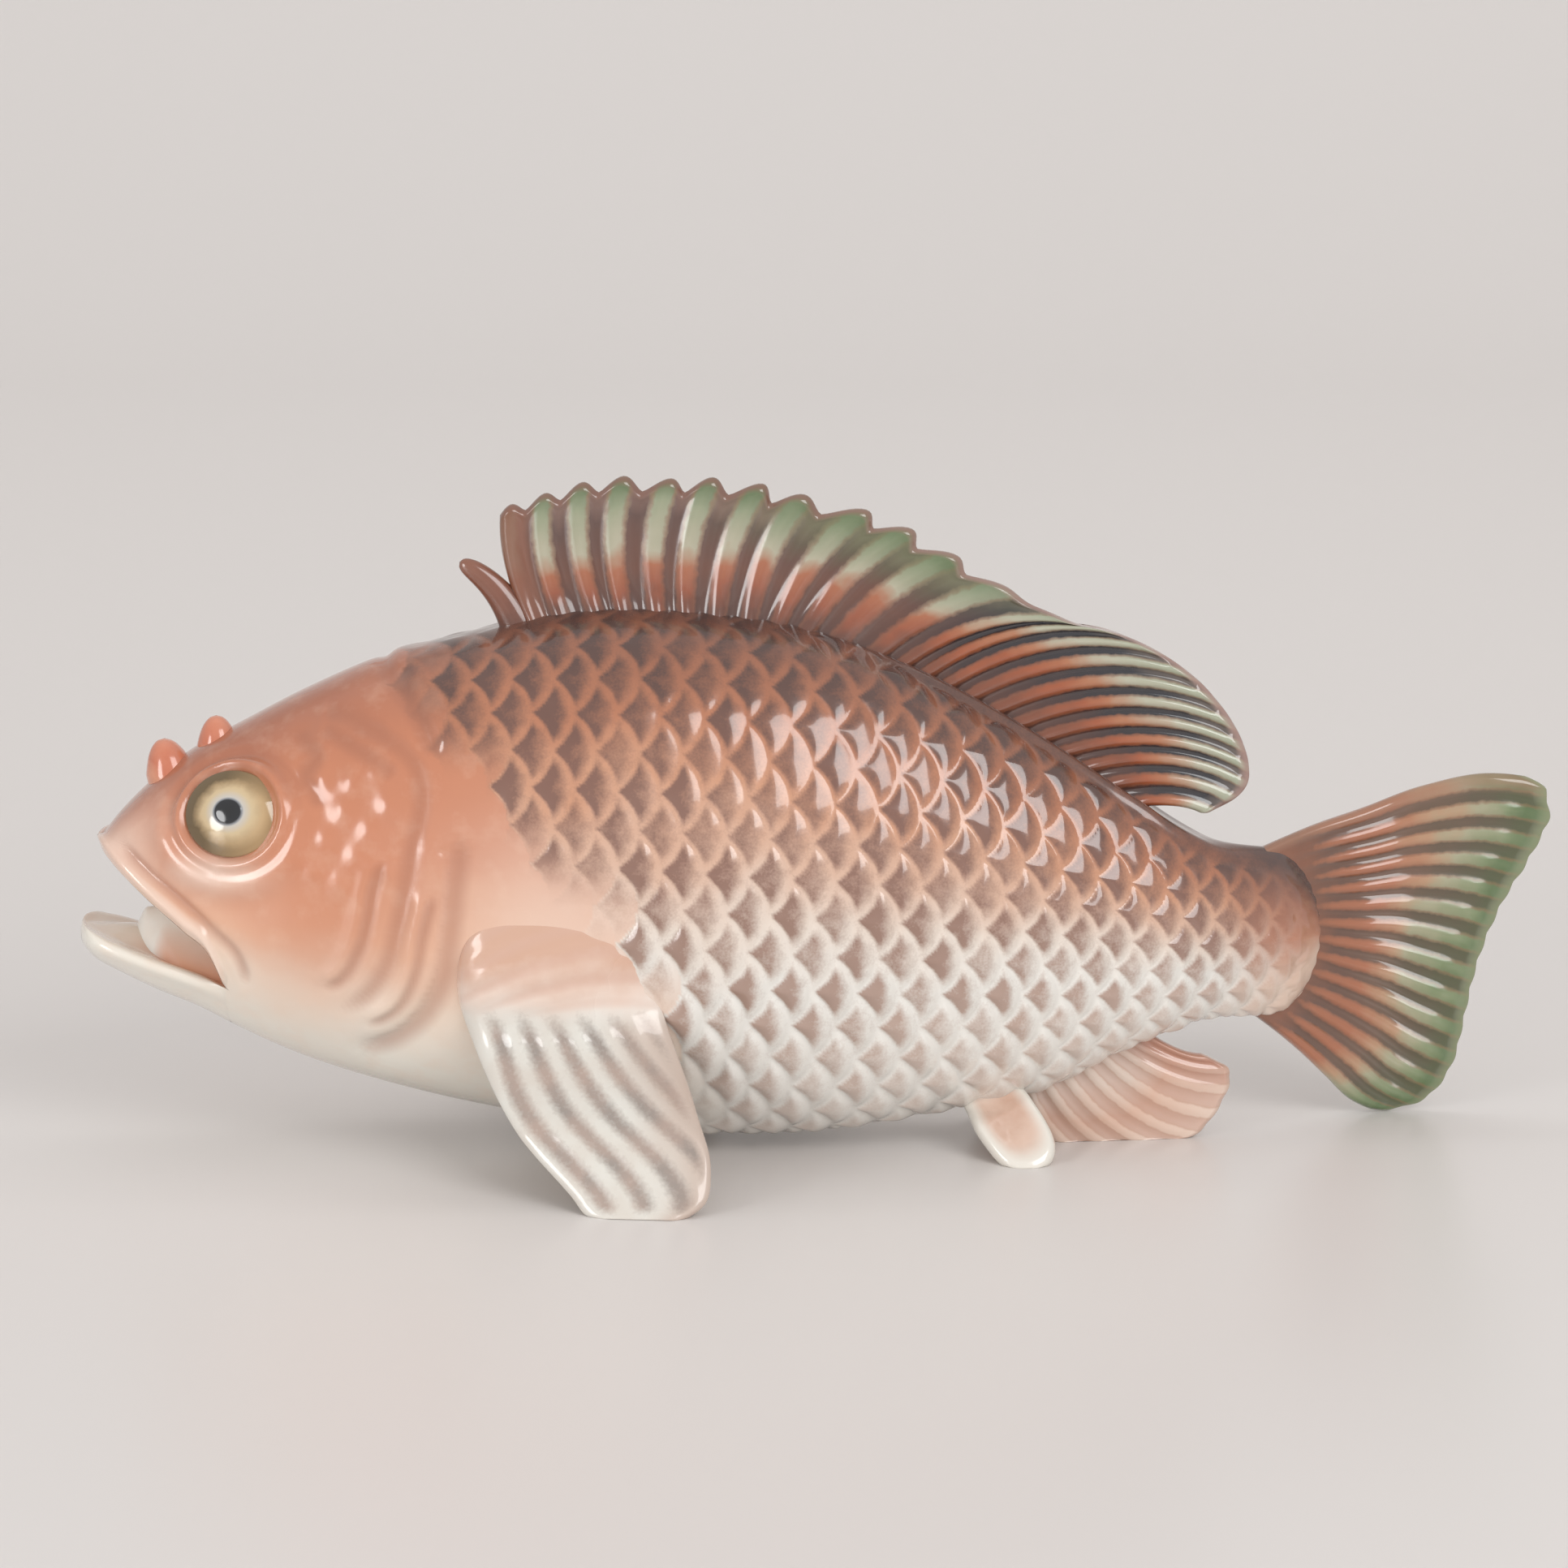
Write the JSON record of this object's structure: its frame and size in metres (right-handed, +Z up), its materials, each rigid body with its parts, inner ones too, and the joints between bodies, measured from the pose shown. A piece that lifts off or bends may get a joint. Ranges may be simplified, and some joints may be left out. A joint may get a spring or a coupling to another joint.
{
  "type": "fish figurine",
  "caption": "Hollow glazed porcelain fish with a scaled body, open mouth, spiny back fin and swung tail, standing on its lower fins as a shelf ornament.",
  "frame": {"origin": "on the table, under the middle of the figure's box", "axes": "+Z up, +X from the nose to the tail, -Y towards the fish's left flank"},
  "size_m": [0.2426, 0.0946, 0.1103],
  "materials": {
    "body_glaze": "gloss",
    "white_glaze": "gloss",
    "eye_glaze": "gloss",
    "fin_glaze": "gloss",
    "pale_fin_glaze": "gloss"
  },
  "bodies": {
    "root": {"body_shell": "body_glaze", "snout_horn_front": "body_glaze", "snout_horn_rear": "body_glaze", "lower_jaw": "white_glaze", "tongue": "white_glaze", "eye_left": "eye_glaze", "eye_right": "eye_glaze", "dorsal_fin": "fin_glaze", "first_dorsal_spine": "fin_glaze", "tail_fin": "fin_glaze", "anal_fin": "pale_fin_glaze", "pectoral_fin_left": "pale_fin_glaze", "pectoral_fin_right": "pale_fin_glaze", "pelvic_fin_left": "pale_fin_glaze", "pelvic_fin_right": "pale_fin_glaze"}
  },
  "joints": []
}
